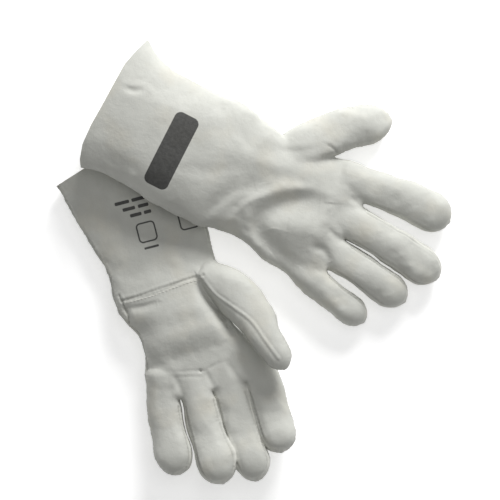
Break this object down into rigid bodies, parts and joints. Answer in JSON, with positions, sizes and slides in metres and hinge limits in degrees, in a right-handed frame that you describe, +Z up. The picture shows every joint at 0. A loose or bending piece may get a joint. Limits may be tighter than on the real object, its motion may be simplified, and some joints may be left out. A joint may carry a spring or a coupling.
{
  "type": "pair of welding gloves",
  "caption": "Pair of long, soft, pale leather welding gloves with flared gauntlet cuffs, one palm up and the other lying across its cuff, back up.",
  "frame": {"origin": "centre of the pair's footprint, on the surface that the gloves lie on", "axes": "+Z up from the surface; +Y is the way the left glove's cuff lies from its fingertips; +X is to the right in plan, towards the right glove's fingertips"},
  "size_m": [0.379, 0.4188, 0.0726],
  "materials": {
    "leather_back": "soft matte grain leather, pale grey-white",
    "leather_palm": "soft matte grain leather, pale grey-white",
    "leather_strip": "soft matte grain leather, a shade lighter",
    "elastic": "woven elastic, off-white"
  },
  "bodies": {
    "left_cuff": {"left_gauntlet_back": "leather_back", "left_gauntlet_palm": "leather_palm"},
    "left_hand": {"left_hand_back": "leather_back", "left_palm": "leather_palm", "left_thumb_base_back": "leather_back", "left_thumb_base_palm": "leather_palm", "left_wrist_elastic": "elastic"},
    "left_thumb": {"left_thumb_back": "leather_back", "left_thumb_palm": "leather_palm"},
    "left_index": {"left_index_back": "leather_back", "left_index_palm": "leather_palm", "left_index_strip_little_side": "leather_strip"},
    "left_middle": {"left_middle_back": "leather_back", "left_middle_palm": "leather_palm", "left_middle_strip_little_side": "leather_strip", "left_middle_strip_thumb_side": "leather_strip"},
    "left_ring": {"left_ring_back": "leather_back", "left_ring_palm": "leather_palm", "left_ring_strip_little_side": "leather_strip", "left_ring_strip_thumb_side": "leather_strip"},
    "left_little": {"left_little_back": "leather_back", "left_little_palm": "leather_palm", "left_little_strip_thumb_side": "leather_strip"},
    "right_cuff": {"right_gauntlet_back": "leather_back", "right_gauntlet_palm": "leather_palm"},
    "right_hand": {"right_hand_back": "leather_back", "right_palm": "leather_palm", "right_thumb_base_back": "leather_back", "right_thumb_base_palm": "leather_palm", "right_wrist_elastic": "elastic"},
    "right_thumb": {"right_thumb_back": "leather_back", "right_thumb_palm": "leather_palm"},
    "right_index": {"right_index_back": "leather_back", "right_index_palm": "leather_palm", "right_index_strip_little_side": "leather_strip"},
    "right_middle": {"right_middle_back": "leather_back", "right_middle_palm": "leather_palm", "right_middle_strip_little_side": "leather_strip", "right_middle_strip_thumb_side": "leather_strip"},
    "right_ring": {"right_ring_back": "leather_back", "right_ring_palm": "leather_palm", "right_ring_strip_little_side": "leather_strip", "right_ring_strip_thumb_side": "leather_strip"},
    "right_little": {"right_little_back": "leather_back", "right_little_palm": "leather_palm", "right_little_strip_thumb_side": "leather_strip"}
  },
  "joints": [
    {"name": "left_wrist_fold", "type": "hinge", "parent": "left_cuff", "child": "left_hand", "pos_m": [-0.0848, -0.02376, 0.03434], "axis": [-0.9681, -0.2504, 0], "range_deg": [-10, 55]},
    {"name": "left_thumb_curl", "type": "hinge", "parent": "left_hand", "child": "left_thumb", "pos_m": [0.00158, -0.05823, 0.03734], "axis": [-0.7716, -0.6361, 0], "range_deg": [-10, 50]},
    {"name": "left_index_curl", "type": "hinge", "parent": "left_hand", "child": "left_index", "pos_m": [0.00538, -0.10527, 0.03184], "axis": [-0.9736, -0.2283, 0], "range_deg": [-10, 70]},
    {"name": "left_middle_curl", "type": "hinge", "parent": "left_hand", "child": "left_middle", "pos_m": [-0.02713, -0.11296, 0.03184], "axis": [-0.9736, -0.2283, 0], "range_deg": [-10, 70]},
    {"name": "left_ring_curl", "type": "hinge", "parent": "left_hand", "child": "left_ring", "pos_m": [-0.05822, -0.12017, 0.03114], "axis": [-0.9736, -0.2283, 0], "range_deg": [-10, 70]},
    {"name": "left_little_curl", "type": "hinge", "parent": "left_hand", "child": "left_little", "pos_m": [-0.08831, -0.12723, 0.03054], "axis": [-0.9736, -0.2283, 0], "range_deg": [-10, 70]},
    {"name": "right_wrist_fold", "type": "hinge", "parent": "right_cuff", "child": "right_hand", "pos_m": [-0.00645, 0.07492, 0.01734], "axis": [0.454, 0.891, 0], "range_deg": [-10, 55]},
    {"name": "right_thumb_curl", "type": "hinge", "parent": "right_hand", "child": "right_thumb", "pos_m": [0.07824, 0.11954, 0.00534], "axis": [-0.2756, 0.9613, 0], "range_deg": [-10, 50]},
    {"name": "right_index_curl", "type": "hinge", "parent": "right_hand", "child": "right_index", "pos_m": [0.10534, 0.07295, 0.00354], "axis": [0.506, 0.8625, 0], "range_deg": [-10, 70]},
    {"name": "right_middle_curl", "type": "hinge", "parent": "right_hand", "child": "right_middle", "pos_m": [0.08631, 0.04, 0.00354], "axis": [0.506, 0.8625, 0], "range_deg": [-10, 70]},
    {"name": "right_ring_curl", "type": "hinge", "parent": "right_hand", "child": "right_ring", "pos_m": [0.06882, 0.01008, 0.00424], "axis": [0.506, 0.8625, 0], "range_deg": [-10, 70]},
    {"name": "right_little_curl", "type": "hinge", "parent": "right_hand", "child": "right_little", "pos_m": [0.05305, -0.01645, 0.00484], "axis": [0.506, 0.8625, 0], "range_deg": [-10, 70]},
    {"name": "right_glove_lift", "type": "slide", "parent": "left_cuff", "child": "right_cuff", "axis": [0, 0, 1], "range_m": [0, 0.12]}
  ]
}
